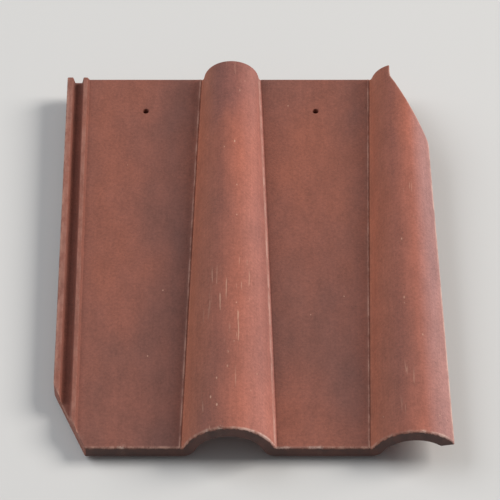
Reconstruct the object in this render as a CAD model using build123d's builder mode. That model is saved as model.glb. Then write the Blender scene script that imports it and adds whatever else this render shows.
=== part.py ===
from build123d import *
from math import atan2, degrees, sqrt
import os

os.makedirs("parts", exist_ok=True)

# One interlocking clay roof tile: two round rolls that run from foot to head, a flat pan beside each,
# water-lock ribs down the left side and a cover lip down the right side.
# The tile is drawn with X across the slope, Y from foot to head and Z = 0 on the pans' upper face.
# The cover width is counted from X = 0, which lies between the water lock and the middle roll.

# whole tile
tile_length = 420.0
cover_width = 300.0
pan_thickness = 13.0
head_lap = 75.0

# rolls: centre lines, and outer radius and height over the pan at either end
middle_roll_x = 111.5
lip_reach = 32.0
foot_roll_radius = 40.5
head_roll_radius = 25.65
foot_middle_height = 29.0
head_middle_height = 25.6
foot_cover_height = 23.5
head_cover_height = 22.0

# hollows under the rolls: wall over the crown, how much smaller their radius is, and the rounded corners
roll_wall = 13.5
hollow_step = 10.0
crease_radius = 2.5
hollow_radius = 12.0

# cover lip: how far its edge draws in toward the head, its edge height and its flat underside
lip_draw_in = 9.5
lip_edge_height = 3.6
lip_flat = 11.3
lip_top_radius = 1.2
lip_bottom_radius = 0.6

# water lock beside the left pan: outer rib, channel and inner rib
foot_lock_x = -38.0
head_lock_x = -42.0
foot_ledge_x = -16.5
head_ledge_x = -21.5
outer_rib_width = 5.5
inner_rib_width = 4.0
rib_slope_run = 1.5
rib_height = 3.2
channel_depth = 4.5
lock_radius = 1.2

# mitred corners, one at the foot of the water lock and one at the head of the cover roll
mitre_slope = 0.45
foot_mitre_x = -10.0
mitre_gap = 3.2

# nibs under the head that hook over the batten
nib_width = 36.0
nib_from_head = 24.0
nib_depth = 12.0
nib_flat = 9.0
nib_back_run = 9.0
nib_radius = 2.0

# weather bars under the foot
bar_margin = 8.0
bar_y = 8.0
bar_width = 7.0
bar_height = 4.0
bar_radius = 1.5

# nail holes in the pans near the head
hole_from_head = 40.0
hole_diameter = 5.5

# rounded upper arris at the foot
arris_radius = 1.6

# how far the tapered tools and the cutters run past the tile
overrun = 20.0
cutter = 200.0

# what follows from the sizes above
underside = -pan_thickness
gauge = tile_length - head_lap
nib_face_y = tile_length - nib_from_head
hole_y = tile_length - hole_from_head
cover_roll_x = cover_width - lip_reach
left_pan_x = (head_ledge_x + middle_roll_x - head_roll_radius) / 2
right_pan_x = (middle_roll_x + cover_roll_x) / 2
foot_end = (0.0, foot_roll_radius, foot_middle_height, foot_cover_height, cover_width, foot_lock_x, foot_ledge_x)
head_end = (
    tile_length, head_roll_radius, head_middle_height, head_cover_height,
    cover_width - lip_draw_in, head_lock_x, head_ledge_x,
)


def taper(foot_value, head_value, y):
    """A size that changes in a straight line from the foot to the head, read at y."""
    return foot_value + (head_value - foot_value) * y / tile_length


with BuildPart() as laid:
    # water lock: ruled between its outline at the foot and its outline at the head
    for y, _, _, _, _, lock_x, ledge_x in (foot_end, head_end):
        inner_rib_x = ledge_x - rib_slope_run - inner_rib_width
        outer_rib_x = lock_x + outer_rib_width
        with BuildSketch(Plane.XZ.offset(-y)):
            with BuildLine():
                FilletPolyline(
                    (lock_x, underside - overrun),
                    (lock_x, rib_height),
                    (outer_rib_x, rib_height),
                    (outer_rib_x + rib_slope_run, -channel_depth),
                    (inner_rib_x - rib_slope_run, -channel_depth),
                    (inner_rib_x, rib_height),
                    (inner_rib_x + inner_rib_width, rib_height),
                    (ledge_x + rib_slope_run, -rib_height),
                    (ledge_x + rib_slope_run, underside - overrun),
                    radius=lock_radius,
                    close=True,
                )
            make_face()
    loft(ruled=True)

    # pans: one level slab from the inner rib to the middle of the cover roll
    with BuildSketch(Plane.XY):
        with BuildLine():
            Polyline(
                (foot_ledge_x - rib_slope_run, 0.0),
                (cover_roll_x, 0.0),
                (cover_roll_x, tile_length),
                (head_ledge_x - rib_slope_run, tile_length),
                close=True,
            )
        make_face()
    extrude(amount=underside - overrun)

    # rolls, as tapered round bars, and then their hollows; the lip is cut before the hollows
    outer_bars, hollow_bars = [], []
    for x, foot_height, head_height in (
        (middle_roll_x, foot_middle_height, head_middle_height),
        (cover_roll_x, foot_cover_height, head_cover_height),
    ):
        outer_bars.append((x, foot_roll_radius, head_roll_radius, foot_height, head_height))
        hollow_bars.append((
            x, foot_roll_radius - hollow_step, head_roll_radius - hollow_step,
            foot_height - roll_wall, head_height - roll_wall,
        ))
    near, far = -overrun, tile_length + overrun
    for x, foot_radius, head_radius, foot_top, head_top in outer_bars:
        near_r, far_r = taper(foot_radius, head_radius, near), taper(foot_radius, head_radius, far)
        near_z, far_z = taper(foot_top, head_top, near) - near_r, taper(foot_top, head_top, far) - far_r
        with BuildSketch(Plane.YZ.offset(x)):
            with BuildLine():
                Polyline((near, near_z), (far, far_z), (far, far_z - far_r), (near, near_z - near_r), close=True)
            make_face()
        revolve(axis=Axis((x, near, near_z), (0, far - near, far_z - near_z)))

    # square ends and a level underside
    with BuildSketch(Plane.XY.offset(underside)):
        with Locations((cover_width / 2, tile_length / 2)):
            Rectangle(2 * cover_width, tile_length)
    extrude(amount=cutter, mode=Mode.INTERSECT)

    # lip edge and the flat under it
    for y, radius, _, cover_height, lip_x, _, _ in (foot_end, head_end):
        hollow = radius - hollow_step
        lip_top = cover_height - radius + sqrt(radius**2 - (lip_x - cover_roll_x) ** 2)
        flat_x = lip_x - lip_flat
        flat_z = cover_height - roll_wall - hollow + sqrt(hollow**2 - (flat_x - cover_roll_x) ** 2)
        lip_z = lip_top - lip_edge_height
        inward = lip_flat * 0.3
        with BuildSketch(Plane.XZ.offset(-y)):
            with BuildLine():
                Polyline(
                    (flat_x - inward, flat_z + (flat_z - lip_z) * inward / lip_flat),
                    (lip_x, lip_z),
                    (lip_x, cutter / 2),
                    (lip_x + cutter, cutter / 2),
                    (lip_x + cutter, -cutter / 2),
                    (flat_x - inward, -cutter / 2),
                    close=True,
                )
            make_face()
    loft(ruled=True, mode=Mode.SUBTRACT)

    for x, foot_radius, head_radius, foot_top, head_top in hollow_bars:
        near_r, far_r = taper(foot_radius, head_radius, near), taper(foot_radius, head_radius, far)
        near_z, far_z = taper(foot_top, head_top, near) - near_r, taper(foot_top, head_top, far) - far_r
        with BuildSketch(Plane.YZ.offset(x)):
            with BuildLine():
                Polyline((near, near_z), (far, far_z), (far, far_z - far_r), (near, near_z - near_r), close=True)
            make_face()
        revolve(axis=Axis((x, near, near_z), (0, far - near, far_z - near_z)), mode=Mode.SUBTRACT)

    # long edges: rounded creases beside the lock and the rolls, rounded corners of the hollows,
    # and a bevel on the lower edge of the outer rib
    for level, start_x, stop_x, work, amount in (
        (0.0, head_lock_x, 0.0, fillet, lock_radius),
        (0.0, 0.0, cover_width, fillet, crease_radius),
        (underside, 0.0, cover_width, fillet, hollow_radius),
        (underside, head_lock_x, 0.0, chamfer, lock_radius),
    ):
        work(
            laid.edges().filter_by(
                lambda edge: edge.length > tile_length * 0.99
                and abs((edge @ 0.5).Z - level) < 0.01
                and start_x < (edge @ 0.5).X < stop_x
            ),
            amount,
        )

    # mitred corners: the water lock gives way at the foot, the cover roll at the head
    head_mitre_x = cover_width + foot_mitre_x - mitre_gap
    head_side_x = cover_width + foot_lock_x - mitre_gap
    with BuildSketch(Plane.XY.offset(-cutter / 2)):
        with BuildLine():
            Polyline(
                (foot_mitre_x + overrun * mitre_slope, -overrun),
                (foot_mitre_x - cutter * mitre_slope, cutter),
                (foot_mitre_x - cutter * mitre_slope, -overrun),
                close=True,
            )
        make_face()
        with BuildLine():
            Polyline(
                (head_mitre_x + overrun * mitre_slope, gauge - overrun),
                (head_side_x, gauge + (head_mitre_x - head_side_x) / mitre_slope),
                (head_side_x, tile_length + cutter),
                (cover_width + overrun, tile_length + cutter),
                (cover_width + overrun, gauge - overrun),
                close=True,
            )
        make_face()
    extrude(amount=cutter, mode=Mode.SUBTRACT)

    # rounded upper arris along the foot
    upper_faces = laid.faces().filter_by(lambda face: face.normal_at().Z > 0.3)
    fillet(upper_faces.edges().filter_by(lambda edge: edge.bounding_box().max.Y < 0.01), arris_radius)

    # rounded edges of the lip, its upper one and then its lower one
    for order, radius in ((-1, lip_top_radius), (0, lip_bottom_radius)):
        lip_edges = laid.edges().filter_by(
            lambda edge: edge.length > gauge / 2 and (edge @ 0.5).X > cover_width - lip_draw_in
        )
        fillet(lip_edges.sort_by(Axis.Z)[order], radius)

    # nail holes
    with BuildSketch(Plane.XY.offset(-cutter / 2)):
        with Locations((left_pan_x, hole_y), (right_pan_x, hole_y)):
            Circle(hole_diameter / 2)
    extrude(amount=cutter, mode=Mode.SUBTRACT)

    # nibs: upright face toward the foot, flat underneath, sloped back toward the head
    nib_bottom = underside - nib_depth
    nib_back_y = nib_face_y + nib_flat + nib_back_run
    root = pan_thickness / 4
    for x in (left_pan_x, right_pan_x):
        with BuildPart(mode=Mode.PRIVATE) as nib:
            with BuildSketch(Plane.YZ.offset(x - nib_width / 2)):
                with BuildLine():
                    Polyline(
                        (nib_face_y, underside + root),
                        (nib_face_y, nib_bottom),
                        (nib_face_y + nib_flat, nib_bottom),
                        (nib_back_y, underside),
                        (nib_back_y, underside + root),
                        close=True,
                    )
                make_face()
            extrude(amount=nib_width)
            fillet(nib.faces().sort_by(Axis.Z)[0].edges(), nib_radius)
        add(nib.part)

    # weather bars: low ribs across the underside of the pans, close to the foot
    for left, right in (
        (bar_margin, middle_roll_x - foot_roll_radius - bar_margin),
        (middle_roll_x + foot_roll_radius + bar_margin, cover_roll_x - foot_roll_radius - bar_margin),
    ):
        with BuildPart(mode=Mode.PRIVATE) as bar:
            with BuildSketch(Plane.XY.offset(underside - bar_height)):
                with Locations(((left + right) / 2, bar_y + bar_width / 2)):
                    Rectangle(right - left, bar_width)
            extrude(amount=bar_height + root)
            fillet(bar.faces().sort_by(Axis.Z)[0].edges(), bar_radius)
        add(bar.part)

# set down on a level floor: the nibs hold the head up and the weather bars carry the foot,
# each touching where its flat underside starts, on the side toward the foot
contact_rise = nib_depth - bar_height
contact_run = (nib_face_y + nib_radius) - (bar_y + bar_radius)
with BuildPart() as roof_tile:
    add(laid.part.rotate(Axis.X, degrees(atan2(contact_rise, contact_run))))
    size = roof_tile.part.bounding_box()
    middle = size.center()
    roof_tile.part.move(Location((-middle.X, -middle.Y, -size.min.Z)))
roof_tile.part.label = "roof_tile"
export_step(roof_tile.part, "parts/roof_tile.step")
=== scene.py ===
# %% [markdown]
# # A clay roof tile, dressed for the camera
#
# The real thing is one interlocking roof tile of fired clay. Its measured solid loads as a fixed frame, and
# this script builds the visible tile over it. A pressed tile can be seen whole from above and from below, so
# each of its two faces can be worked out as a sheet of heights over the plan. The sheets, joined round their
# edges, make one closed skin, which is easier to shape than a block carved by hand.

# %% Load the solid tile
import math

import bmesh
import bpy
import numpy as np
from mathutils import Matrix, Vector


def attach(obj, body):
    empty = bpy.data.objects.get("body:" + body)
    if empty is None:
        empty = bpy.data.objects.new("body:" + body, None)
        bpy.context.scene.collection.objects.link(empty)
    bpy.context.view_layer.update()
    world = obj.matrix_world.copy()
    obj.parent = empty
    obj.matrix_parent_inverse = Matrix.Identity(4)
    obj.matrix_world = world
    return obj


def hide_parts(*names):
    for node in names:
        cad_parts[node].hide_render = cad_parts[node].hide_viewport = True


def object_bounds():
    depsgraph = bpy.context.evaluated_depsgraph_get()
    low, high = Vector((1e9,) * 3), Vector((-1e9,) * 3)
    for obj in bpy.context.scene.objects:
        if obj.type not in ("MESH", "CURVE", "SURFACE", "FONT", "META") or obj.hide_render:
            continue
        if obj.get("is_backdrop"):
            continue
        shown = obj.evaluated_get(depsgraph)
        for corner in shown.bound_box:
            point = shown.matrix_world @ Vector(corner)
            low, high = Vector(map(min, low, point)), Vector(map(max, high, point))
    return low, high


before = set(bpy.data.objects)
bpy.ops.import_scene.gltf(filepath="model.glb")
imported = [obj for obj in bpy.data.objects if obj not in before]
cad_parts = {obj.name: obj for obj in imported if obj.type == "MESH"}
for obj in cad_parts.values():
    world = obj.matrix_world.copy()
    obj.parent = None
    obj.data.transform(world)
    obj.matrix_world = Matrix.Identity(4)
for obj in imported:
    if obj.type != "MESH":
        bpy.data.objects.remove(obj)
cad_low, cad_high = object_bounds()
cad_middle = (Vector(cad_low) + Vector(cad_high)) / 2
print("solid tile from", [round(v, 4) for v in cad_low], "to", [round(v, 4) for v in cad_high])

# %% [markdown]
# ## Sizes that taper
#
# Sizes are in millimetres on the tile as it is drawn: x runs across the slope, y from the foot to the head,
# and z = 0 is the face of the pans. The real tile tapers: it is wide and tall at the foot and slimmer at the
# head. So a size that tapers is written as a pair, its value at the foot and at the head, and one helper
# reads it anywhere between, for a single place or for a whole array of places at once. Capitals mark sizes
# that are chosen, and small letters what follows from them.

# %% Read a tapering size
LENGTH = 420.0


def along(ends, y):
    """A size on its way from the foot to the head: foot + (head - foot) times y / length."""
    return ends[0] + (ends[1] - ends[0]) * y / LENGTH


print("tile", LENGTH, "mm long")

# %% [markdown]
# ## The two rolls
#
# Two round ridges, the rolls, run from foot to head, one in the middle and one on the right, and each meets
# its pan in a small concave crease. They could be swept along a path, but would then have to be joined to
# the pans. As a height over the plan a roll is an arc, then a crease, then nothing, and the join comes by
# itself.

# %% The rolls as heights
ROLLS = ((111.5, 29.0, 25.6), (268.0, 23.5, 22.0))  # centre line, height at the foot, height at the head
ROLL_RADIUS = (40.5, 25.65)
CREASE = 2.5
middle_x, cover_x = ROLLS[0][0], ROLLS[1][0]


def arc(away, radius, top):
    """Height of an arc at a distance from its middle: top - R + sqrt(R^2 - d^2)."""
    return top - radius + np.sqrt(np.clip(radius**2 - away**2, 0.0, None))


def ridge_reach(radius, top, crease):
    """Half width of a ridge, out to the end of its crease: sqrt((R + c)^2 - (R + c - top)^2)."""
    return np.sqrt((radius + crease) ** 2 - (radius + crease - top) ** 2)


def ridge(away, radius, top, crease):
    """An arc, then a concave arc that levels out, c - sqrt(c^2 - (reach - d)^2), then 0."""
    reach = ridge_reach(radius, top, crease)
    touch = reach * radius / (radius + crease)
    levelling = crease - np.sqrt(crease**2 - np.clip(reach - away, 0.0, crease) ** 2)
    return np.where(away < touch, arc(away, radius, top), np.where(away < reach, levelling, 0.0))


def roll_reach(y, roll):
    """Half width of a roll at y, out to where its crease meets the pan."""
    return ridge_reach(along(ROLL_RADIUS, y), along(roll[1:], y), CREASE)


def roll_height(x, y, roll):
    """Height of a roll over the pan: a ridge with the roll's own radius and height at y."""
    return ridge(np.abs(x - roll[0]), along(ROLL_RADIUS, y), along(roll[1:], y), CREASE)


for roll in ROLLS:
    print("roll at", roll[0], "is", round(2 * float(roll_reach(0.0, roll)), 1), "mm wide at the foot")

# %% [markdown]
# ## Grooves at the feet of the rolls
#
# A fine tool line follows each crease. In daylight it shows as a thin dark stripe beside a thin pale one. It
# could be painted on, but then it would stay the same from every side. A groove that is really sunk, with
# the bead of clay that the tool turned up beside it, catches the light as the real one does.

# %% Grooves and beads as bells
GROOVE_INSET, GROOVE_DEPTH = 0.7, 0.4
BEAD_OFFSET, BEAD_HEIGHT = 1.45, 0.45
BELL_WIDTH = 0.75


def bell(distance, width):
    """A soft bump that falls from 1 to 0 with distance: exp(-(distance / width)^2)."""
    return np.exp(-((distance / width) ** 2))


def groove_lines(y):
    """Where the four grooves run: each roll's centre line plus and minus its reach, less a small inset."""
    return [roll[0] + side * (roll_reach(y, roll) - GROOVE_INSET) for roll in ROLLS for side in (-1.0, 1.0)]


def groove(x, y):
    """Share of the groove's depth, from 0 to 1: a bell about each groove line."""
    return sum(bell(x - line, BELL_WIDTH) for line in groove_lines(y))


def bead(x, y):
    """Share of the bead's height, from 0 to 1: a bell a little to the left of each groove line."""
    return sum(bell(x - line + BEAD_OFFSET, BELL_WIDTH) for line in groove_lines(y))


print("grooves at the foot at x =", [round(float(line), 1) for line in groove_lines(0.0)])

# %% [markdown]
# ## The water lock
#
# Down the left side run two low ribs with a channel between them, which hold back rain that creeps sideways.
# Plain steps in height would give them corners as sharp as cut steel. Smooth steps, each laid evenly about
# the sloping side of a rib, give the soft corners of pressed clay.

# %% The water lock as smooth steps
LOCK, LEDGE = (-38.0, -42.0), (-16.5, -21.5)  # the left side of the tile, and of the left pan
OUTER_RIB, INNER_RIB, RIB_HEIGHT, CHANNEL_DEPTH = 5.5, 4.0, 3.2, 4.5
RIB_RUN = 1.5  # how far the sloping side of a rib runs sideways
CHANNEL_STEP, LEDGE_STEP = 2.3, 2.6  # widths of the smooth steps


def ramp(x, start, width):
    """A smooth step from 0 to 1: 3 t^2 - 2 t^3, where t is the share of the width that x has passed."""
    t = np.clip((x - start) / width, 0.0, 1.0)
    return t * t * (3.0 - 2.0 * t)


def lock_steps(y):
    """Where the three smooth steps start: half a step's width before the middle of a rib's side."""
    outer = along(LOCK, y) + OUTER_RIB + RIB_RUN / 2 - CHANNEL_STEP / 2
    inner = along(LEDGE, y) - INNER_RIB - RIB_RUN * 1.5 - CHANNEL_STEP / 2
    ledge = along(LEDGE, y) - RIB_RUN / 2 - LEDGE_STEP / 2
    return outer, inner, ledge


def lock_height(x, y):
    """The rib's height, less a step into the channel, plus a step out of it, less a step to the pan."""
    outer, inner, ledge = lock_steps(y)
    down, up = ramp(x, outer, CHANNEL_STEP), ramp(x, inner, CHANNEL_STEP)
    return RIB_HEIGHT - (RIB_HEIGHT + CHANNEL_DEPTH) * (down - up) - RIB_HEIGHT * ramp(x, ledge, LEDGE_STEP)


print("floor of the channel at", round(float(lock_height((LOCK[0] + LEDGE[0]) / 2, 0.0)), 2), "mm")

# %% [markdown]
# ## The outline from above
#
# Both sides of the tile draw in toward the head, and two corners are cut at a slant: the lock's at the foot
# and the cover roll's at the head. A boolean cut would do it, but leaves ragged faces. Here the slants
# belong to the two side lines, and the grid will follow those lines exactly.

# %% Side lines with slanted corners
WIDTH, LIP_DRAW_IN = 300.0, 9.5
HEAD_LAP = 75.0
MITRE_SLOPE, MITRE_GAP, FOOT_MITRE = 0.45, 3.2, -10.0
head_mitre, head_side = WIDTH + FOOT_MITRE - MITRE_GAP, WIDTH + LOCK[0] - MITRE_GAP


def lip_line(y):
    """The outer edge of the cover lip, which draws in evenly from the foot to the head."""
    return along((WIDTH, WIDTH - LIP_DRAW_IN), y)


def side_lines(y):
    """The tile's left and right side: the lock's and the lip's lines, cut back by slanted lines."""
    left = np.maximum(along(LOCK, y), FOOT_MITRE - MITRE_SLOPE * y)
    slant = head_mitre - MITRE_SLOPE * (y - (LENGTH - HEAD_LAP))
    return left, np.minimum(lip_line(y), np.maximum(head_side, slant))


for part, at_y in (("foot", 0.0), ("middle", LENGTH / 2), ("head", LENGTH)):
    left, right = side_lines(at_y)
    print("width at the", part, round(float(right - left), 1), "mm")

# %% [markdown]
# ## A little unevenness
#
# Clay warps slightly as it dries, and a face with no waves at all looks like plastic in a low light. It
# could be sculpted by hand. A sum of slow sine waves in random directions is quicker, and because the random
# numbers start from a fixed seed, every run gives the same tile.

# %% Slow waves
WAVE_ACROSS, WAVE_UP = 0.09, 0.035  # the quickest turn of a wave, in radians per millimetre
rng = np.random.default_rng(7)
waves = rng.uniform(-1, 1, (9, 4))


def unevenness(x, y):
    """From 0 to 1: the sum of sin(across x + up y + phase) over nine waves, scaled and held at the ends."""
    total = 0.0
    for across, up, phase, size in waves:
        turn = x * across * WAVE_ACROSS + y * up * WAVE_UP + phase * math.pi
        total = total + (0.6 + 0.4 * size) * np.sin(turn)
    return 0.5 + 0.5 * np.clip(total / 4.0, -1.0, 1.0)


print("unevenness along the middle roll", np.round(unevenness(middle_x, np.linspace(0.0, LENGTH, 5)), 2))

# %% [markdown]
# ## The upper face
#
# On the real tile one pressed face runs over the lock, the pans and the rolls. Because every part so far is
# a height over the plan, the whole face is only their sum, with no seams to hide. Its two long edges are
# rounded by taking off the fall of a quarter circle near each side line.

# %% The upper face as one height
WARP, LONG_EDGE = 0.12, 1.2


def drop(distance, radius):
    """How far a rounded edge falls at a distance from it: r - sqrt(r^2 - (r - d)^2) within r, then 0."""
    short = np.clip(radius - distance, 0.0, radius)
    return radius - np.sqrt(radius**2 - short**2)


def upper(x, y):
    """Lock, rolls and beads added up, less the grooves, the unevenness and the rounding of both sides."""
    left, right = side_lines(y)
    height = lock_height(x, y) + sum(roll_height(x, y, roll) for roll in ROLLS)
    height = height - GROOVE_DEPTH * groove(x, y) + BEAD_HEIGHT * bead(x, y) - WARP * unevenness(x, y)
    return height - drop(x - left, LONG_EDGE) - drop(right - x, LONG_EDGE)


print("middle roll stands", round(float(upper(middle_x, LENGTH / 2)), 2), "mm over the pans halfway up")

# %% [markdown]
# ## Nibs, weather bars and nail holes
#
# Under the head two nibs hook over the batten, and under the foot two low bars keep out driven rain. They
# are pressed together with the tile, so they have steep sides, rounded edges and a small arc at the root.
# Bevelled cubes would have to be merged with the skin. A depth taken off the underside needs no merging: it
# depends only on how far a point lies inside the block's outline.

# %% Blocks under the pans
NIB_WIDTH, NIB_DEPTH, NIB_FLAT, NIB_BACK = 36.0, 12.0, 9.0, 9.0
NIB_FROM_HEAD, HOLE_FROM_HEAD = 24.0, 40.0
NIB_EDGE, BAR_EDGE = 2.0, 1.5
NIB_SHAPE = {"depth": NIB_DEPTH, "root": 1.5, "edge": NIB_EDGE, "draft": 0.4}
BAR_MARGIN, BAR_START, BAR_WIDTH, BAR_HEIGHT = 8.0, 8.0, 7.0, 4.0
BAR_SHAPE = {"depth": BAR_HEIGHT, "root": 0.8, "edge": BAR_EDGE, "draft": 0.3}
nib_xs = ((LEDGE[1] + middle_x - ROLL_RADIUS[1]) / 2, (middle_x + cover_x) / 2)
nib_face, hole_y = LENGTH - NIB_FROM_HEAD, LENGTH - HOLE_FROM_HEAD
nib_end, bar_end = nib_face + NIB_FLAT + NIB_BACK, BAR_START + BAR_WIDTH
bars = (
    (BAR_MARGIN, middle_x - ROLL_RADIUS[0] - BAR_MARGIN),
    (middle_x + ROLL_RADIUS[0] + BAR_MARGIN, cover_x - ROLL_RADIUS[0] - BAR_MARGIN),
)


def block(inside, depth, root, edge, draft):
    """Depth by the distance inside a block's side: an arc at the root, a steep wall, a rounded edge."""
    foot = root - np.sqrt(root**2 - np.clip(inside + root, 0.0, root) ** 2)
    wall = root + (depth - edge - root) * np.clip(inside / draft, 0.0, 1.0)
    return np.where(inside < 0.0, foot, np.where(inside < draft, wall, depth - drop(inside - draft, edge)))


def moulded(x, y):
    """How far nibs and bars stand down: the least depth by any of a block's sides, the most of any block."""
    depth = 0.0
    for middle in nib_xs:
        across = block(NIB_WIDTH / 2 - np.abs(x - middle), **NIB_SHAPE)
        back = NIB_DEPTH * np.clip((nib_end - y) / NIB_BACK, 0.0, 1.0)
        depth = np.maximum(depth, np.minimum(np.minimum(across, block(y - nib_face, **NIB_SHAPE)), back))
    for start, stop in bars:
        across = block(np.minimum(x - start, stop - x), **BAR_SHAPE)
        over = block(np.minimum(y - BAR_START, bar_end - y), **BAR_SHAPE)
        depth = np.maximum(depth, np.minimum(across, over))
    return depth


print("nibs and nail holes at x =", nib_xs, "and bars from and to x =", bars)

# %% [markdown]
# ## The underside
#
# Under each roll the clay is hollowed out, so that its wall stays even and dries without cracks, and the
# edge of the cover lip is thin, with a sloping flat beneath it. A Solidify modifier would give an even wall
# everywhere, which the real tile doesn't have. A height of its own is as short: a hollow is the ridge
# formula again, over the level underside, with a smaller radius and a wide crease.

# %% The underside as one height
THICKNESS = 13.0
HOLLOW_STEP, ROLL_WALL, HOLLOW_CORNER = 10.0, 13.5, 12.0
LIP_EDGE, LIP_FLAT = 3.6, 11.3
LOCK_LOWER_EDGE, LIP_LOWER_EDGE = 1.1, 0.7


def hollow(x, y, roll):
    """How far the underside rises under a roll: a ridge, smaller by the wall and with a wide crease."""
    top = along(roll[1:], y) - ROLL_WALL + THICKNESS
    return ridge(np.abs(x - roll[0]), along(ROLL_RADIUS, y) - HOLLOW_STEP, top, HOLLOW_CORNER)


def lip_flat(x, y):
    """Share of the way over the flat under the lip, and its height on a line from hollow to edge."""
    lip, radius, top = lip_line(y), along(ROLL_RADIUS, y), along(ROLLS[1][1:], y)
    edge = arc(lip - cover_x, radius, top) - LIP_EDGE
    start = arc(lip - LIP_FLAT - cover_x, radius - HOLLOW_STEP, top - ROLL_WALL)
    share = (x - lip + LIP_FLAT) / LIP_FLAT
    return share, start + (edge - start) * share


def lower(x, y):
    """The level underside plus hollows and the lip's flat, less nibs and bars, rounded at both sides."""
    height = sum(hollow(x, y, roll) for roll in ROLLS) - THICKNESS
    share, flat = lip_flat(x, y)
    left, right = side_lines(y)
    height = np.where(share > 0.0, flat, height) - moulded(x, y)
    return height + drop(x - left, LOCK_LOWER_EDGE) + drop(right - x, LIP_LOWER_EDGE)


middle_wall = upper(middle_x, LENGTH / 2) - lower(middle_x, LENGTH / 2)
print("wall over the hollow", round(float(middle_wall), 2), "mm")

# %% [markdown]
# ## Rows of the grid
#
# Both faces share one grid of points. Even spacing would waste points on the level pans and still miss the
# small edges, so the rows lie close wherever the shape turns quickly: at the two ends, over the bars and the
# nibs, round the nail holes, and along the slanted corner at the foot. A rounded end gets its rows at even
# steps of angle round a quarter circle.

# %% Rows
FOOT_ARRIS, HEAD_ARRIS = 1.6, 1.0
HOLE_PATCH = 7.0  # half the side of the square patch left out for a nail hole
SLANT_ROWS, SLANT_STEP = (18.5, 64.0), 1.75  # close rows along the slanted corner
PLAIN_START, PLAIN_STEP = 66.0, 4.4
quarter = 1.0 - np.cos(np.linspace(0.0, math.pi / 2, 6))
nib_marks = np.array([-1.5, -0.9, -0.35, 0.0, 0.4, 0.65, 1.1, 1.7, 2.4])
bar_marks = np.array([-0.8, -0.3, 0.0, 0.3, 0.7, 1.8])
hole_marks = np.linspace(-HOLE_PATCH, HOLE_PATCH, 7)


def filled(marks, step):
    """Marks in order, with even steps added wherever two of them lie farther apart than a step."""
    marks = np.unique(np.round(np.asarray(marks, float), 4))
    gaps = zip(marks[:-1], marks[1:])
    pieces = [np.linspace(a, b, max(2, math.ceil((b - a) / step) + 1))[:-1] for a, b in gaps]
    return np.append(np.concatenate(pieces), marks[-1])


foot_rows = [FOOT_ARRIS * quarter, [2.4, 3.6, 5.2], BAR_START + bar_marks, bar_end - bar_marks, [17.0]]
plain_rows = [np.arange(*SLANT_ROWS, SLANT_STEP), filled([PLAIN_START, hole_y - HOLE_PATCH], PLAIN_STEP)]
head_rows = [
    hole_y + hole_marks, nib_face + nib_marks, nib_face + NIB_FLAT + np.array([-1.0, 0.0, 1.2]),
    nib_end + np.array([-1.2, 0.0, 1.0]), [LENGTH - 3.0], LENGTH - HEAD_ARRIS * quarter,
]
rows = np.unique(np.round(np.concatenate(foot_rows + plain_rows + head_rows), 4))
row_y = rows[:, None]
print(len(rows), "rows, the closest", round(float(np.diff(rows).min()), 3), "mm apart")

# %% [markdown]
# ## Columns of the grid
#
# The columns follow the tapering lines of the lock, the rolls and the lip, so that a rib or a groove always
# has the same columns over it. On the pans they stay put, because nibs, bars and holes don't taper. Round a
# roll they are spaced by angle, which cuts its steep sides as finely as its crest.

# %% Helpers for columns
PAN_STEP = 4.6
LEFT_PAN, RIGHT_PAN = (-14.0, 66.0), (157.0, 224.0)  # where the columns of the pans stay put
step_shares = (0.0, 0.12, 0.28, 0.44, 0.6, 0.76, 0.9, 1.0)
groove_marks = np.array([-2.6, -1.9, -1.3, -0.85, -0.4, 0.0, 0.4, 0.8, 1.4, 2.0])


def stretch(start, stop, shares):
    """Columns at given shares of the way from one line to another: start + (stop - start) share."""
    return start + (stop - start) * np.asarray(shares)[None, :]


def pan_columns(limits, middle, bar):
    """Columns that stay put on one pan, at the edges of its bar, its nib and its nail hole."""
    marks = [
        limits, bar[0] + bar_marks, bar[1] - bar_marks, middle + hole_marks,
        middle - NIB_WIDTH / 2 + nib_marks, middle + NIB_WIDTH / 2 - nib_marks,
    ]
    across = filled(np.concatenate(marks), PAN_STEP)
    return np.broadcast_to(across, (len(rows), len(across)))


print("left pan has", pan_columns(LEFT_PAN, nib_xs[0], bars[0]).shape[1], "columns")

# %% [markdown]
# ## All columns
#
# A slanted corner is a problem for a grid, because whole columns end at it. Cutting them off would leave
# slivers. Here columns that pass a side line are held at it, so they slide along the slant, and points that
# then coincide are welded at the end.

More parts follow.
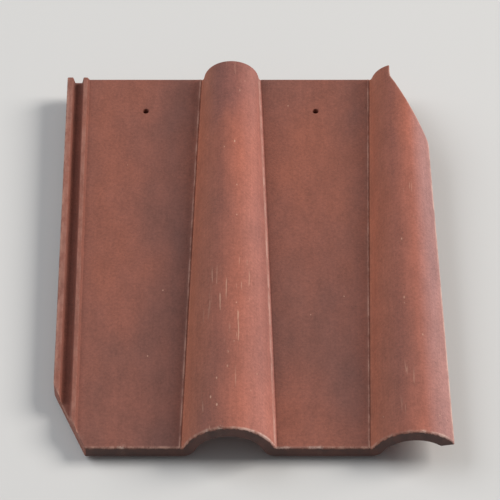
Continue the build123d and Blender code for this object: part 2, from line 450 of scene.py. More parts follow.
# %% Columns
FLANK_INSET, GROOVE_GAP = 3.4, 2.0  # from a roll's reach to the even columns, inwards and outwards
roll_radius = along(ROLL_RADIUS, row_y)
lock, ledge = along(LOCK, row_y), along(LEDGE, row_y)
channel_in, channel_out, ledge_step = lock_steps(row_y)
middle_reach, cover_reach = [roll_reach(row_y, roll) for roll in ROLLS]
middle_turn = np.arcsin((middle_reach - FLANK_INSET) / roll_radius)
cover_turn = np.arcsin((cover_reach - FLANK_INSET) / roll_radius)
lip_turn = np.arcsin((lip_line(row_y) - LONG_EDGE - 0.1 - cover_x) / roll_radius)
columns = np.concatenate([
    stretch(lock + LONG_EDGE + 0.1, channel_in - 0.1, (0.0, 0.5)),
    stretch(channel_in, channel_in + CHANNEL_STEP, step_shares),
    stretch(channel_in + CHANNEL_STEP + 0.3, channel_out - 0.3, (0.0, 0.33, 0.67, 1.0)),
    stretch(channel_out, channel_out + CHANNEL_STEP, step_shares),
    stretch(channel_out + CHANNEL_STEP + 0.5, ledge_step - 0.4, (0.0, 0.5, 1.0)),
    stretch(ledge_step, ledge_step + LEDGE_STEP, step_shares),
    stretch(ledge_step + LEDGE_STEP, LEFT_PAN[0], (0.5,)),
    pan_columns(LEFT_PAN, nib_xs[0], bars[0]),
    stretch(LEFT_PAN[1], middle_x - middle_reach - GROOVE_GAP, (0.25, 0.5, 0.75)),
    middle_x - middle_reach + GROOVE_INSET + groove_marks,
    middle_x + roll_radius * np.sin(stretch(-middle_turn, middle_turn, np.linspace(0.0, 1.0, 56))),
    middle_x + middle_reach - GROOVE_INSET - groove_marks[::-1],
    stretch(middle_x + middle_reach + GROOVE_GAP, RIGHT_PAN[0], (0.25, 0.5, 0.75)),
    pan_columns(RIGHT_PAN, nib_xs[1], bars[1]),
    stretch(RIGHT_PAN[1], cover_x - cover_reach - GROOVE_GAP, (0.3, 0.65)),
    cover_x - cover_reach + GROOVE_INSET + groove_marks,
    cover_x + roll_radius * np.sin(stretch(-cover_turn, 0.0, np.linspace(0.0, 1.0, 27))),
    cover_x + roll_radius * np.sin(stretch(0.0, lip_turn, np.linspace(0.04, 1.0, 25))),
], axis=1)
left, right = side_lines(row_y)
columns = np.clip(columns, left + LONG_EDGE + 0.05, right - LONG_EDGE - 0.05)
rounding = LONG_EDGE * quarter[None, :-1]
columns = np.concatenate([left + rounding, columns, right - rounding[:, ::-1]], axis=1)
columns = np.maximum.accumulate(columns, axis=1)
print(len(rows), "rows of", columns.shape[1], "grid points on either face")

# %% [markdown]
# ## Chips in the foot's edge
#
# The upper edge at the foot takes the knocks of stacking and laying, so it has lost a few small flakes. A
# boolean cut with rocks would be heavy for bites of a millimetre. Each bite is a bell of depth across the
# edge instead, which fades within a few millimetres up the face.

# %% Chips
chip_x = np.array([93.0, 101.5, 104.0, 133.0, 246.5, 262.0, 271.5, 274.0, 291.0, 21.0, 187.0])
chip_wide = rng.uniform(0.7, 1.7, len(chip_x))
chip_deep = rng.uniform(0.15, 0.85, len(chip_x))


def chips(x, y):
    """Depth of the bites in millimetres: deep exp(-((x - at) / wide)^2) exp(-(y / long)^2), added up."""
    places = zip(chip_x, chip_wide, chip_deep)
    return sum(deep * bell(x - at, wide) * bell(y, 0.9 + 0.7 * wide) for at, wide, deep in places)


bites = chips(columns, row_y)
print("deepest chip", round(float(bites.max()), 2), "mm")

# %% [markdown]
# ## Edges wiped round at both ends
#
# Before firing, the tile's edges are wiped round with a damp cloth. A Bevel modifier would round all of them
# alike, and it can't make chips. Near each end the points of a face are drawn into the clay instead, square
# to its slope, by the fall of a quarter circle. Chips are drawn in with them, and so is a hair's breadth
# that keeps the skin inside the solid tile.

# %% Draw the faces in
LOW_FOOT_EDGE, LOW_HEAD_EDGE = 0.8, 0.9
CLEARANCE, NUDGE, STEEPEST = 0.04, 0.04, 0.3


def drawn_in(face, sign, amount):
    """Points (x, z) of a face moved by an amount along its normal: slope and -1 over sqrt(1 + slope^2)."""
    slope = (face(columns + NUDGE, row_y) - face(columns - NUDGE, row_y)) / (2 * NUDGE)
    slope = np.where(columns < ledge + 2.0, np.clip(slope, -STEEPEST, STEEPEST), slope)
    scale = sign / np.sqrt(1.0 + slope**2)
    return columns + slope * scale * amount, face(columns, row_y) - scale * amount


blocks = lower(columns, row_y) < -THICKNESS - 1.0
top_in = drop(row_y, FOOT_ARRIS) + drop(LENGTH - row_y, HEAD_ARRIS) + bites + CLEARANCE
low_in = drop(row_y, LOW_FOOT_EDGE) + drop(LENGTH - row_y, LOW_HEAD_EDGE) + np.where(blocks, 0.0, CLEARANCE)
top_x, top_z = drawn_in(upper, 1.0, top_in)
low_x, low_z = drawn_in(lower, -1.0, low_in)
top_y = row_y + 0.8 * bites * np.exp(-row_y / 2.0)
top = np.stack([top_x, top_y, top_z], axis=-1)
low = np.stack([low_x, np.broadcast_to(row_y, low_x.shape), low_z], axis=-1)
print("upper face from z =", round(float(top_z.min()), 2), "to", round(float(top_z.max()), 2), "mm")

# %% [markdown]
# ## Nail holes
#
# Each pan has a round hole for a nail, in line with its nib. A boolean cut would cross the grid anyhow. A
# square patch of the grid is left out of both faces instead, and a stack of rings will fill it: from the
# square in to a round rim, over the rim's soft edge, down the bore and out again underneath. Every ring has
# as many points as the square, so they join up one to one.

# %% Rings of the nail holes
HOLE_RADIUS, COLLAR_RADIUS = 2.75, 4.6
TOP_RIM, LOW_RIM = 0.9, 0.5
RIM_STEPS = ((1.0, 0.0), (0.4, 0.2), (0.1, 0.55), (0.0, 1.0))  # shares of the rim's edge, outwards and down


def nearest(values, wanted):
    """Number of the value that lies nearest to the wanted one."""
    return int(np.argmin(np.abs(values - wanted)))


def rings(face, js, ks, middle, rim, sign):
    """The square's points, then circles, middle + r cos and middle + r sin, for each radius and depth."""
    outline = face[js, ks]
    angle = np.arctan2(top[js, ks, 1] - hole_y, top[js, ks, 0] - middle)
    found = [outline]
    circles = [(COLLAR_RADIUS, 0.0)] + [(HOLE_RADIUS + out * rim, down * rim) for out, down in RIM_STEPS]
    for size, depth in circles:
        ring_x, ring_y = middle + size * np.cos(angle), hole_y + size * np.sin(angle)
        level = np.full(len(angle), outline[:, 2].mean() - sign * depth)
        found.append(np.stack([ring_x, ring_y, level], axis=-1))
    return found


keep = np.ones((len(rows) - 1, columns.shape[1] - 1), bool)
bores = []
j0, j1 = nearest(rows, hole_y - HOLE_PATCH), nearest(rows, hole_y + HOLE_PATCH)
for middle in nib_xs:
    k0, k1 = nearest(columns[j0], middle - HOLE_PATCH), nearest(columns[j0], middle + HOLE_PATCH)
    keep[j0:j1, k0:k1] = False
    wide, tall = k1 - k0, j1 - j0
    js = np.concatenate([np.full(wide, j0), np.arange(j0, j1), np.full(wide, j1), np.arange(j1, j0, -1)])
    ks = np.concatenate([np.arange(k0, k1), np.full(tall, k1), np.arange(k1, k0, -1), np.full(tall, k0)])
    down, up = rings(top, js, ks, middle, TOP_RIM, 1.0), rings(low, js, ks, middle, LOW_RIM, -1.0)
    bores.append(np.stack(down + up[::-1]))
print(len(bores), "nail holes of", bores[0].shape[1], "points round and", bores[0].shape[0], "rings")

# %% [markdown]
# ## Sheets of one closed skin
#
# The two faces have to become one watertight shell, because a real tile is solid and an open mesh would show
# a hollow inside. Blender's Bridge Edge Loops could close the gap by hand. Here every sheet of the skin is a
# grid of points, be it a face, a wall between the faces or a bore, and one helper makes its quads.

# %% Collect the sheets
TOP, LOW, SIDE, FOOT, HEAD, BORE = range(6)
WALL_SHARES = np.array([0.0, 0.1, 0.3, 0.5, 0.7, 0.9, 1.0])
points, faces, kinds = [], [], []


def add_sheet(grid, kind, closed=False, keep=None, flip=False):
    """Adds a grid of points, each joined to its next in both directions. kind is kept for the colours."""
    start = sum(len(p) for p in points)
    number = np.arange(grid.shape[0] * grid.shape[1]).reshape(grid.shape[:2]) + start
    if closed:
        number = np.concatenate([number, number[:, :1]], axis=1)
    quads = np.stack([number[:-1, :-1], number[:-1, 1:], number[1:, 1:], number[1:, :-1]], axis=-1)
    quads = quads.reshape(-1, 4) if keep is None else quads[keep]
    points.append(grid.reshape(-1, 3))
    faces.append(quads[:, ::-1] if flip else quads)
    kinds.append(np.full(grid.shape[0] * grid.shape[1], kind))


def wall(a, b):
    """Points of a wall between two edges: a (1 - share) + b share, at each share of its height."""
    shares = WALL_SHARES[None, :, None]
    return a[:, None, :] * (1 - shares) + b[:, None, :] * shares


add_sheet(top, TOP, keep=keep)
add_sheet(low, LOW, keep=keep, flip=True)
add_sheet(wall(top[:, -1], low[:, -1]), SIDE)
add_sheet(wall(top[:, 0], low[:, 0]), SIDE, flip=True)
add_sheet(wall(top[0], low[0]), FOOT)
add_sheet(wall(top[-1], low[-1]), HEAD, flip=True)
for bore in bores:
    add_sheet(bore, BORE, closed=True)
verts, cells, kind = np.concatenate(points), np.concatenate(faces), np.concatenate(kinds)
print(len(verts), "points and", len(cells), "quads in", len(points), "sheets")

# %% [markdown]
# ## Guides for the colours: place
#
# Kiln and hands mark a tile by place, and so does the shade painted on it, so its colours have to know where
# they are. Painting an image would do, but it is tied to one size. A named attribute gives each point a
# number instead, and the material reads it. These guides say which way a roll leans, if a point is on a
# roll, how high it stands, how far it lies toward the right side of each pan, which darkens there partly by
# kiln flash and partly by painted shade from the roll beside it, and which face of the tile it belongs to.

# %% Guides of place
FULL_RISE = 25.0  # the height over the pans that counts as 1
ROLL_FADE = (-0.3, 1.2)  # start and width of the step onto a roll, inwards from its reach
PAN_SHADE_ON, PAN_SHADE_OFF, PAN_LEFT_SHADE = (0.32, 0.56), (0.88, 0.12), (0.0, 0.14)  # starts and widths, shares of a pan
x, y, z = verts.T
on_top = (kind == TOP) | ((kind == BORE) & (z > -2.0))
spans = [(roll[0], roll_reach(y, roll)) for roll in ROLLS]
leans = [np.clip((x - roll_x) / reach, -1.0, 1.0) for roll_x, reach in spans]
lean = 0.5 + 0.5 * np.where(x > (middle_x + cover_x) / 2, leans[1], leans[0])
on_roll = np.maximum(*[ramp(reach - np.abs(x - roll_x), *ROLL_FADE) for roll_x, reach in spans])
# The pan darkens toward its roll and a little at its left edge: partly kiln flash, partly painted shade.
pan_shade_and_flash = np.zeros(len(verts))
pan_starts = (along(LEDGE, y), spans[0][0] + spans[0][1])
for pan_start, (roll_x, reach) in zip(pan_starts, spans):
    share = (x - pan_start) / (roll_x - reach - pan_start)
    shade = ramp(share, *PAN_SHADE_ON) - 0.9 * ramp(share, *PAN_SHADE_OFF) + 0.25 * (1.0 - ramp(share, *PAN_LEFT_SHADE))
    pan_shade_and_flash = np.where(on_top & (share > 0.0) & (share < 1.0), shade, pan_shade_and_flash)
guides = {
    "lean": lean,
    "on_roll": on_roll,
    "rise": np.where(on_top, np.clip(z / FULL_RISE, 0.0, 1.0), 0.0),
    "pan_shade_and_flash": pan_shade_and_flash,
    "weathered": np.where(on_top, 1.0, np.where(kind == LOW, 0.0, 0.35)),
    "foot_face": np.where((kind == FOOT) | ((kind == LOW) & (y < 0.85)), 1.0, 0.0),
}
print({name: round(float(values.mean()), 3) for name, values in guides.items()})

# %% [markdown]
# ## Guides for the colours: wear
#
# Handling rubs the edges of a tile pale: the foot's edge, then the two sides, the ribs and the little beads.
# On the right side of a roll the foot's edge is paler still, which is painted highlight where the light
# falls.
# A Pointiness node could find sharp edges, but an exported model loses it. Bells about the tile's own lines
# say the same, and they are stored in the mesh.

# %% Guides of wear
FOOT_BAND, LIP_BAND, LOCK_BAND = 0.9, 1.0, 1.2  # widths of the rubbed bands, in millimetres
LIP_RUB, LOCK_RUB, RIB_RUB = 1.17, 0.63, 0.2  # how strongly they are rubbed
left, right = side_lines(y)
# The extra on a roll's right side is painted highlight, not wear.
foot_rub_and_light = bell(y - 0.5, FOOT_BAND) * on_top * (0.85 + 0.5 * on_roll * ramp(lean, 0.4, 0.3))
side_rub = LIP_RUB * bell(right - x, LIP_BAND) + LOCK_RUB * bell(x - left, LOCK_BAND)
side_rub = side_rub * np.where(on_top, 1.0, 0.25)
rib_rub = RIB_RUB * (on_top & (x < along(LEDGE, y)) & (z > RIB_HEIGHT - 0.6))
bead_rub = (1.0 - 0.4 * lean) * bead(x, y) * on_top
guides["rub"] = np.clip(foot_rub_and_light + side_rub + rib_rub + bead_rub + 1.4 * chips(x, y), 0.0, 1.0)
guides["chip"] = np.clip(1.6 * chips(x, y), 0.0, 1.0)
print({name: round(float(guides[name].mean()), 3) for name in ("rub", "chip")})

# %% [markdown]
# ## Set down on the floor
#
# The tile doesn't lie level: its nibs hold the head up and the weather bars carry the foot. Turning the
# finished object would leave a rotation on it, which a pattern on its own coordinates would follow. So the
# points themselves are turned about x, then moved until the skin sits in the solid tile's box.

# %% Turn and place the points
MM = 0.001  # a millimetre, in the scene's metres
tilt = math.atan2(NIB_DEPTH - BAR_HEIGHT, (nib_face + NIB_EDGE) - (BAR_START + BAR_EDGE))
turned_y, turned_z = y * math.cos(tilt) - z * math.sin(tilt), y * math.sin(tilt) + z * math.cos(tilt)
placed = np.stack([x, turned_y, turned_z], axis=-1) * MM
placed[:, :2] += np.array(cad_middle)[:2] - (placed[:, :2].min(0) + placed[:, :2].max(0)) / 2
placed[:, 2] += cad_low[2] - placed[:, 2].min()
print("tilt", round(math.degrees(tilt), 2), "degrees, head at", round(float(placed[:, 2].max()), 4), "m")

# %% [markdown]
# ## The mesh
#
# Numpy's arrays now become a Blender mesh, with the guides as its attributes. The sheets still have points
# of their own where they meet, so doubles are welded, and a count of open edges shows whether the skin is
# closed. Weighted normals keep the large smooth faces even beside the narrow rounded edges.

# %% Build, weld and shade the mesh
mesh = bpy.data.meshes.new("tile_body")
mesh.from_pydata(placed.tolist(), [], cells.tolist())
for name, values in guides.items():
    mesh.attributes.new(name, "FLOAT", "POINT").data.foreach_set("value", values.astype(np.float32))
weld = bmesh.new()
weld.from_mesh(mesh)
bmesh.ops.remove_doubles(weld, verts=weld.verts, dist=0.002 * MM)
open_edges = sum(1 for edge in weld.edges if len(edge.link_faces) != 2)
volume = weld.calc_volume(signed=True)
weld.to_mesh(mesh)
weld.free()
mesh.shade_smooth()
tile = bpy.data.objects.new("tile_body", mesh)
bpy.context.scene.collection.objects.link(tile)
smooth = tile.modifiers.new("even_shading", "WEIGHTED_NORMAL")
smooth.mode = "FACE_AREA"
smooth.weight = 70
mesh.calc_loop_triangles()
print(len(mesh.vertices), "points,", len(mesh.loop_triangles), "triangles,", open_edges, "open edges")
print("volume", round(volume * 1e6, 1), "cubic centimetres")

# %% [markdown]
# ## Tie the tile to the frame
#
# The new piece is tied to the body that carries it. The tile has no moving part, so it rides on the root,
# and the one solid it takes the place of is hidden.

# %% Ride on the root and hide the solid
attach(tile, "root")
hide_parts("roof_tile")
print(tile.name, "stands for roof_tile")

# %% [markdown]
# ## Fired clay: helpers for the material
#
# The real body is matte brownish red, and every mark on it comes from firing, pressing or handling. A
# painted picture would fix those marks at one size. Noise on the object's own coordinates stays sharp at any
# size, but it takes many nodes. So a few helpers come first: one makes a node and links it, and others stand
# for sums, products and smooth fades.

# %% Node helpers
clay = bpy.data.materials.new("fired_clay")
clay.use_nodes = True
tree = clay.node_tree
skin = tree.nodes["Principled BSDF"]


def feed(socket, value):
    """Gives a socket its value, or links it where the value is another node's socket."""
    if isinstance(value, bpy.types.NodeSocket):
        tree.links.new(value, socket)
    elif value is not None:
        socket.default_value = value


def node(kind, *values, **settings):
    """Adds a shader node and feeds its inputs in order; None leaves an input as it is."""
    made = tree.nodes.new(kind)
    for name, value in settings.items():
        setattr(made, name, value)
    for socket, value in zip(made.inputs, values):
        feed(socket, value)
    return made


def chained(operation, terms):
    """Takes one Math node for each term after the first, and gives the last one's result."""
    result = terms[0]
    for term in terms[1:]:
        result = node("ShaderNodeMath", result, term, operation=operation).outputs[0]
    return result


def plus(*terms):
    """The sum of sockets and numbers."""
    return chained("ADD", terms)


def times(*terms):
    """The product of sockets and numbers."""
    return chained("MULTIPLY", terms)


def fade(value, low, high, to_low=0.0, to_high=1.0):
    """A smooth step from one number to another while a value goes from low to high."""
    ends = (low, high, to_low, to_high)
    return node("ShaderNodeMapRange", value, *ends, interpolation_type="SMOOTHSTEP").outputs[0]


print("material", clay.name, "starts with", len(tree.nodes), "nodes")

# %% [markdown]
# ### Colours, noise and guides
#
# Kiln marks and streaks are long from foot to head, and grain is as long as it is wide. One noise with a
# Mapping node before it does for both: a scale for each axis, in cycles per metre, stretches the pattern.
# Beside it come helpers to mix colours, to run through a row of colours, and to read a guide.

# %% Colour, noise and guide helpers
object_place = node("ShaderNodeTexCoord").outputs["Object"]


def noise(scale, detail=3.0, roughness=0.5, bend=0.0, shift=0.0):
    """Noise from 0 to 1: scale is cycles per metre across, along and up, shift moves it to a new place."""
    moved = node("ShaderNodeMapping", object_place, (shift, shift * 1.7, 0.0), None, scale)
    settings = (None, 1.0, detail, roughness, None, None, bend)
    return node("ShaderNodeTexNoise", moved.outputs[0], *settings).outputs[0]


def guide(name):
    """Reads one of the skin's guides, which the mesh holds as an attribute."""
    return node("ShaderNodeAttribute", attribute_name=name).outputs["Fac"]


def mixed(share, a, b, blend="MIX"):
    """One colour turned into another by a share: a (1 - share) + b share, or the blend that is named."""
    made = node("ShaderNodeMix", data_type="RGBA", blend_type=blend)
    for socket, value in ((made.inputs[0], share), (made.inputs[6], a), (made.inputs[7], b)):
        feed(socket, (*value, 1.0) if isinstance(value, tuple) else value)
    return made.outputs[2]


def shaded(colour, tone):
    """A colour times a tone, which may be a number that differs from place to place."""
    return node("ShaderNodeVectorMath", colour, tone, operation="MULTIPLY").outputs[0]


def shades(value, *stops):
    """A row of colours that a value runs through; each stop is a position and its colour."""
    made = node("ShaderNodeValToRGB", value)
    marks = made.color_ramp.elements
    marks.remove(marks[1])
    marks[0].position, marks[0].color = stops[0][0], (*stops[0][1], 1)
    for position, shade in stops[1:]:
        marks.new(position).color = (*shade, 1)
    return made.outputs[0]


lean_at, rise_at, on_roll_at = guide("lean"), guide("rise"), guide("on_roll")
print("helpers ready:", len(tree.nodes), "nodes")

# %% [markdown]
# ### Kiln colours and painted shade of the pans
#
# Each pan runs from orange brown on its left to a darker purple grey on its right, by the roll. That is
# partly kiln flash, where the flame drew over the tile from one side, and partly painted shade from the roll
# beside it. A plain gradient would look printed. A guide says how far a point lies to that side, and slow
# patches of noise make the darkening stronger in one place than in another.

# %% Pans
PAN_CLAY, PAN_SMOKE_AND_SHADE = (0.252, 0.0895, 0.0625), (0.085, 0.045, 0.042)
patches = noise((9, 4.5, 9), 4.0, 0.5, 0.3, 21.0)
# The dark colour is partly kiln smoke and partly painted shade from the roll.
pan_colour = mixed(times(guide("pan_shade_and_flash"), fade(patches, 0.35, 0.65, 0.4, 0.26)), PAN_CLAY, PAN_SMOKE_AND_SHADE)
print("pans:", len(tree.nodes), "nodes")

# %% [markdown]
# ### Kiln colours and painted light of the rolls
#
# A roll is orange brown on its left flank, darkest just before the crest, and pinker down its right flank,
# where the cover roll turns a paler, greyer pink. The paler right flank is partly kiln colour and partly
# painted light, as it faces the light from the right. That is a row of colours read by the guide called
# lean.
# Smoke lies along parts of the crests, and a faint flame pattern keeps two rolls from looking alike.

# %% Rolls
PALE_FLANK_COLOUR, SMOKE = (0.402, 0.205, 0.188), (0.2, 0.085, 0.078)
PALE_FLANK_SHARE, SMOKE_SHARE = 0.9, 0.42
COVER_FLANK = (0.1, 0.14)  # metres to the right of the tile's middle
# Stops along a roll from left to right; the lighter right flank is partly painted light.
roll_colour_and_light = shades(
    lean_at,
    (0.0, (0.425, 0.147, 0.088)), (0.34, (0.29, 0.1, 0.069)), (0.62, (0.38, 0.126, 0.086)),
    (0.85, (0.43, 0.168, 0.131)), (1.0, (0.4, 0.155, 0.12)),
)
across_place = node("ShaderNodeSeparateXYZ", object_place).outputs[0]
# The cover roll's right flank turns a paler, greyer pink: partly painted light.
pale_flank = times(fade(lean_at, 0.56, 0.84), fade(across_place, *COVER_FLANK), PALE_FLANK_SHARE)
roll_colour_and_light = mixed(pale_flank, roll_colour_and_light, PALE_FLANK_COLOUR)
smoky = times(fade(rise_at, 0.6, 1.0), fade(noise((18, 5.5, 18), shift=15.0), 0.45, 0.64), SMOKE_SHARE)
roll_colour_and_light = mixed(smoky, roll_colour_and_light, SMOKE)
flame_stops = (0.34, (0.9, 0.93, 0.96)), (0.5, (1.0, 1.0, 1.0)), (0.66, (1.05, 1.03, 1.0))
roll_colour_and_light = mixed(1.0, roll_colour_and_light, shades(noise((26, 6, 26), shift=8.0), *flame_stops), "MULTIPLY")
print("rolls:", len(tree.nodes), "nodes")

# %% [markdown]
# ### Flashing
#
# Flashing is what makers call the large soft patches where flame or smoke reached the clay. It could be
# mixed in as more colours, but multiplying keeps the shades below it alive. The same slow patches as before
# turn from a cool grey to a warm red, at full strength on the pans and at less than half on the rolls.

# %% Flashing over pans and rolls
ON_ROLLS = 0.4
kiln = shades(patches, (0.36, (0.76, 0.85, 0.93)), (0.5, (0.98, 0.985, 1.0)), (0.62, (1.12, 1.065, 1.0)))
flashing = fade(on_roll_at, 0.0, 1.0, 1.0, ON_ROLLS)
colour = mixed(flashing, mixed(on_roll_at, pan_colour, roll_colour_and_light), kiln, "MULTIPLY")
print("flashing:", len(tree.nodes), "nodes")

# %% [markdown]
# ### Streaks and grain
#
# The press drags fine streaks along the tile, and the clay itself is sandy. Both are slight changes of tone,
# so they are added up as one number about 1 and multiplied with the colour. Streaks are noise with a far
# larger scale across than along; grain, sand and clouds are noise at three sizes.

# %% Tone
streaks, fine_streaks = noise((260, 7, 260), 4.0, 0.6, shift=5.0), noise((1100, 22, 1100), 2.0, shift=9.0)
grain, sand = noise((430, 430, 430), 5.0, 0.72, shift=2.0), noise((2300, 2300, 2300), 2.0, shift=4.0)
clouds = noise((75, 42, 75), 4.0, 0.6, shift=12.0)


def about_zero(pattern, strength):
    """Noise brought down to swing about 0: (noise - 0.5) strength."""
    return times(node("ShaderNodeMath", pattern, 0.5, operation="SUBTRACT").outputs[0], strength)


streaking = plus(about_zero(streaks, 0.22), about_zero(fine_streaks, 0.22))
streaking = times(streaking, fade(rise_at, 0.0, 0.5, 0.5, 1.0))
tone = plus(streaking, about_zero(grain, 1.0), about_zero(sand, 0.3), about_zero(clouds, 0.5), 1.0)
colour = shaded(colour, tone)
print("tone:", len(tree.nodes), "nodes")

# %% [markdown]
# ### Specks
#
# Iron in the clay burns to dark specks, and grit shows as rare pale ones. Fine noise can't give single round
# spots. A Voronoi texture can: it splits space into cells, a random number picks a few of them, and a fade
# on the distance to a cell's centre draws a round spot in each.

# %% Iron and grit
IRON, IRON_SHARE, GRIT_SHARE = (0.07, 0.04, 0.038), 0.32, 0.5


def specks(scale, chance, size, shift):
    """Round spots: 1 within about half of size from the centre of a cell, in a chosen share of the cells."""
    moved = node("ShaderNodeMapping", object_place, (shift, shift, 0.0), None, scale)
    spots = node("ShaderNodeTexVoronoi", moved.outputs[0], None, 1.0)
    number = node("ShaderNodeSeparateColor", spots.outputs["Color"]).outputs[0]
    chosen = node("ShaderNodeMath", number, chance, operation="LESS_THAN").outputs[0]
    return times(fade(spots.outputs["Distance"], size, size * 0.45), chosen)


colour = mixed(times(specks((260, 260, 260), 0.05, 0.2, 1.0), IRON_SHARE), colour, IRON)
grit = times(specks((170, 110, 170), 0.022, 0.13, 6.0), GRIT_SHARE)
print("specks:", len(tree.nodes), "nodes")

# %% [markdown]
# ### Knocks and ticks on the crests
#
# The crests stand highest, so handling leaves pale knocks and short scratched ticks there, in groups. They
# could be small pieces of mesh, but they have no height. The guide called rise keeps them to the crests, and
# a slow noise gathers them. Where marks meet, the strongest wins.

# %% Pale marks
PALE, KNOCK_SHARE, TICK_SHARE = (0.66, 0.4, 0.29), 0.7, 0.42
knocks = times(specks((210, 100, 210), 0.17, 0.2, 14.0), fade(rise_at, 0.72, 0.95))
knocks = times(knocks, fade(noise((30, 8, 30), 2.0, shift=44.0), 0.42, 0.56), KNOCK_SHARE)
ticks = times(fade(noise((460, 28, 460), 2.0, shift=31.0), 0.65, 0.71), fade(rise_at, 0.7, 0.95))
ticks = times(ticks, fade(noise((24, 9, 24), 2.0, shift=40.0), 0.46, 0.58), TICK_SHARE)
colour = mixed(chained("MAXIMUM", (grit, knocks, ticks)), colour, PALE)
print("pale marks:", len(tree.nodes), "nodes")

# %% [markdown]
# ### Rubbed edges with a painted highlight, and fresh chips
#
# A rubbed edge shows the paler clay under the fired face, and a chip shows it bare. The two guides of wear
# say where, and the rubbed colour is paler on the right flank of a roll than on the left, which is painted
# light. On their own the guides would draw even bands, so each is broken up by a noise.

# %% Wear
# Rubbed colour on the shaded left side and on the lit right side: the difference is painted light.
WORN_SHADE_SIDE, WORN_LIGHT_SIDE, BARE = (0.64, 0.37, 0.29), (0.78, 0.55, 0.47), (0.78, 0.57, 0.47)
WORN_SHARE, BARE_SHARE = 0.88, 0.9
rub_at = guide("rub")
worn_and_lit = times(rub_at, fade(noise((170, 60, 170), 4.0, 0.7, shift=17.0), 0.38, 0.64, 0.2, 1.0), WORN_SHARE)
colour = mixed(worn_and_lit, colour, mixed(fade(lean_at, 0.45, 0.8), WORN_SHADE_SIDE, WORN_LIGHT_SIDE))
broken = times(guide("chip"), fade(noise((520, 520, 520), 3.0, 0.7, shift=33.0), 0.4, 0.58), BARE_SHARE)
colour = mixed(broken, colour, BARE)
print("wear:", len(tree.nodes), "nodes")

# %% [markdown]
# ### The underside and the foot's face
#
# The underside never met the flame, so it is a calmer, paler red with drag lines from the press, and the
# foot's face is painted dark brown: painted shade, as the face looks down and away from the light. Separate
# materials would leave a hard border at the edges. The guides called weathered and foot_face blend all of
# them in one material.

# %% Underside and painted shade on the foot's face
PLAIN_DARK, PLAIN_PALE, FOOT_SHADE = (0.245, 0.094, 0.069), (0.29, 0.112, 0.078), (0.066, 0.043, 0.04)
weathered_at = guide("weathered")
drag = noise((330, 9, 330), 3.0, 0.6, shift=29.0)
plain = mixed(fade(noise((16, 11, 16), 3.0, 0.5, 0.3, 27.0), 0.3, 0.7), PLAIN_DARK, PLAIN_PALE)
plain = shaded(shaded(plain, fade(drag, 0.3, 0.7, 0.95, 1.04)), tone)
colour = mixed(weathered_at, plain, colour)
# Painted shade on the foot's face, broken up a little by noise.
foot_shade = times(guide("foot_face"), fade(noise((70, 70, 70), 4.0, 0.6, 0.2, 37.0), 0.3, 0.7, 0.74, 0.93))
colour = mixed(foot_shade, colour, FOOT_SHADE)
feed(skin.inputs["Base Color"], colour)
print("underside and stain:", len(tree.nodes), "nodes")

# %% [markdown]
# ### A matte, gritty surface
#
# Fired clay has a faint soft shine at most, less where it is rubbed. Its grain is too fine to model as
# points, so a Bump node bends the light by a height made of the same grain, sand, streaks and clouds as the
# tone, with small pits taken off.

# %% Roughness and relief
feed(skin.inputs["Specular IOR Level"], 0.32)
rough = plus(0.66, times(grain, 0.16), times(fade(patches, 0.35, 0.65), 0.06), times(rub_at, 0.08))
feed(skin.inputs["Roughness"], rough)
pits = specks((330, 330, 330), 0.16, 0.3, 11.0)
relief = plus(times(grain, 0.55), times(sand, 0.3), times(streaks, 0.35), times(clouds, 0.5))
relief = plus(relief, times(pits, -0.35), times(drag, plus(0.45, times(weathered_at, -0.45))))
bump = node("ShaderNodeBump")
for name, value in (("Strength", 0.55), ("Distance", 0.0006), ("Height", relief)):
    feed(bump.inputs[name], value)
feed(skin.inputs["Normal"], bump.outputs[0])
mesh.materials.append(clay)
print("fired clay:", len(tree.nodes), "nodes")

# %% [markdown]
# ## The floor
#
# A plain pale floor lets the tile's own colours read and takes a soft shadow. A square plane would show a
# corner from some sides, so the floor is a wide disc, and it is marked as stage because it is no part of the
# tile.

# %% A pale round floor
bpy.ops.mesh.primitive_circle_add(vertices=180, radius=5, fill_type="NGON", location=(0, 0, 0))
floor = bpy.context.object
floor.name = "floor"
pale_floor = bpy.data.materials.new("pale_floor")
pale_floor.use_nodes = True
paint = pale_floor.node_tree.nodes["Principled BSDF"].inputs
feed(paint["Base Color"], (0.7, 0.7, 0.69, 1))
feed(paint["Roughness"], 0.9)
feed(paint["Specular IOR Level"], 0.2)
floor.data.materials.append(pale_floor)
floor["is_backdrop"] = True
print("floor", round(floor.dimensions.x, 1), "m across")

# %% [markdown]
# ## Sky light and backdrop
#
# Soft light from all around fills the shadows. If the camera saw that same dim sky, the far background would
# be dark. A stronger sky would light the tile too much. The Light Path node tells the rays apart: camera,
# mirror and see-through rays meet a pale backdrop, and all others the dim sky.

# %% World
scene = bpy.context.scene
scene.view_settings.view_transform = "Standard"
world = bpy.data.worlds.new("studio")
scene.world = world
world.use_nodes = True
studio = world.node_tree
sky = studio.nodes["Background"]
feed(sky.inputs["Color"], (0.93, 0.96, 1.0, 1))
feed(sky.inputs["Strength"], 0.22)
backdrop = studio.nodes.new("ShaderNodeBackground")
feed(backdrop.inputs["Color"], (0.65, 0.65, 0.64, 1))
paths = studio.nodes.new("ShaderNodeLightPath")
seen = paths.outputs["Is Camera Ray"]
for name in ("Is Glossy Ray", "Is Transmission Ray"):
    either = studio.nodes.new("ShaderNodeMath")
    either.operation = "MAXIMUM"
    studio.links.new(seen, either.inputs[0])
    studio.links.new(paths.outputs[name], either.inputs[1])
    seen = either.outputs[0]
choose = studio.nodes.new("ShaderNodeMixShader")
for number, source in enumerate((seen, sky.outputs[0], backdrop.outputs[0])):
    studio.links.new(source, choose.inputs[number])
studio.links.new(choose.outputs[0], studio.nodes["World Output"].inputs["Surface"])
print("world:", len(studio.nodes), "nodes")

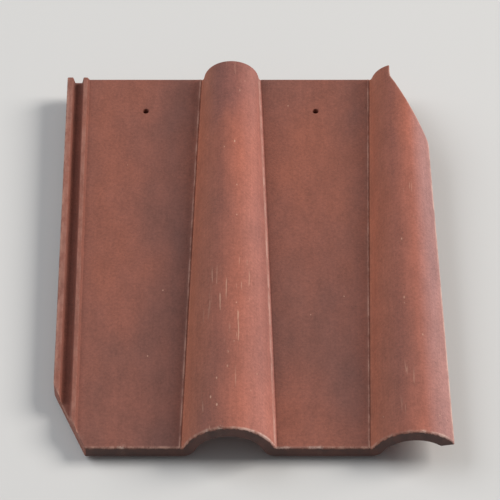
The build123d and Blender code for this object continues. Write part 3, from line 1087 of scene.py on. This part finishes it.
# %% [markdown]
# ## Two soft lamps
#
# Daylight from the right models the rolls: their right flanks are bright, and the creases on their left lie
# in shade. A small lamp would cut hard shadows. A large square area light gives soft ones, and a second,
# weaker and cooler lamp on the left opens the shadow side.

# %% Lamps
LAMP_DISTANCE = 8.0


def direction(azimuth, elevation):
    """Unit vector: sideways cos(e) sin(a), away from the viewer cos(e) cos(a), up sin(e), from degrees."""
    a, e = math.radians(azimuth), math.radians(elevation)
    return Vector((math.cos(e) * math.sin(a), math.cos(e) * math.cos(a), math.sin(e)))


def aim(thing, azimuth, elevation, distance):
    """Puts a lamp or a camera at a distance from the tile's middle and turns it to look at that."""
    thing.location = cad_middle + distance * direction(azimuth, elevation)
    thing.rotation_euler = (cad_middle - thing.location).to_track_quat("-Z", "Y").to_euler()
    scene.collection.objects.link(thing)


def soft_lamp(name, azimuth, elevation, size, power, tint):
    """A square area light that looks at the tile; azimuth turns clockwise from straight behind it."""
    light = bpy.data.lights.new(name, "AREA")
    light.shape = "SQUARE"
    light.size = size
    light.energy = power
    light.color = tint
    aim(bpy.data.objects.new(name, light), azimuth, elevation, LAMP_DISTANCE)
    print(name, power, "W")


soft_lamp("key_light", 76, 36, 4.0, 595, (1.0, 0.95, 0.9))
soft_lamp("left_light", -66, 42, 5.3, 300, (0.95, 0.97, 1.0))

# %% [markdown]
# ## The camera
#
# The photograph looks down at a steep angle and from far off, so lines in it hardly converge. A wide lens
# close by would make them fan out. A long lens from more than two metres keeps the rolls nearly parallel.

# %% Camera
VIEW_ANGLE, VIEW_DISTANCE = 49.7, 2.34
camera_data = bpy.data.cameras.new("camera")
camera_data.lens = 190
camera_data.sensor_width = 36
camera = bpy.data.objects.new("camera", camera_data)
aim(camera, 180, VIEW_ANGLE, VIEW_DISTANCE)
scene.camera = camera
print("camera at", [round(v, 3) for v in camera.location])

# %% [markdown]
# ## Sizes, and the end
#
# The dressed tile should lie inside the solid tile's box.

# %% Print the dressed tile's box
low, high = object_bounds()
print("dressed tile from", [round(v, 4) for v in low], "to", [round(v, 4) for v in high])
